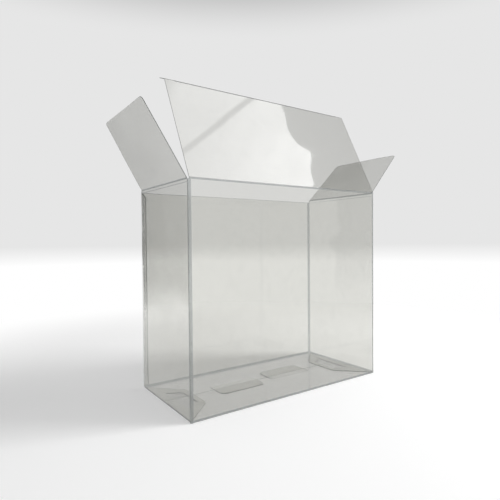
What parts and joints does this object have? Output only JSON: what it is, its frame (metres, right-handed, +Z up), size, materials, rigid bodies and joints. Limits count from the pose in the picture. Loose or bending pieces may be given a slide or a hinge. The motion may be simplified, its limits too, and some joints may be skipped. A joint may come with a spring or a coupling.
{
  "type": "game box protector",
  "caption": "Clear folded plastic case with a hinged lid, a tuck flap and open dust flaps, for keeping a boxed game.",
  "frame": {"origin": "centre of the bottom face of the case", "axes": "+Z up out of the case, +Y from the front wall (which carries the lid) to the back wall, +X along the front to the right"},
  "size_m": [0.2624, 0.09, 0.2563],
  "materials": {
    "clear_pet": "clear polished PET sheet, very slightly grey, with scored creases"
  },
  "bodies": {
    "sleeve": {"sleeve": "clear_pet"},
    "lid": {"lid": "clear_pet"},
    "tuck_flap": {"tuck_flap": "clear_pet"}
  },
  "joints": [
    {"name": "lid_crease", "type": "hinge", "parent": "sleeve", "child": "lid", "pos_m": [0, -0.04475, 0.16975], "axis": [1, 0, 0], "range_deg": [-63.5, 136.5]},
    {"name": "tuck_crease", "type": "hinge", "parent": "lid", "child": "tuck_flap", "pos_m": [0, -0.00535, 0.24877], "axis": [1, 0, 0], "range_deg": [-48, 42]}
  ]
}
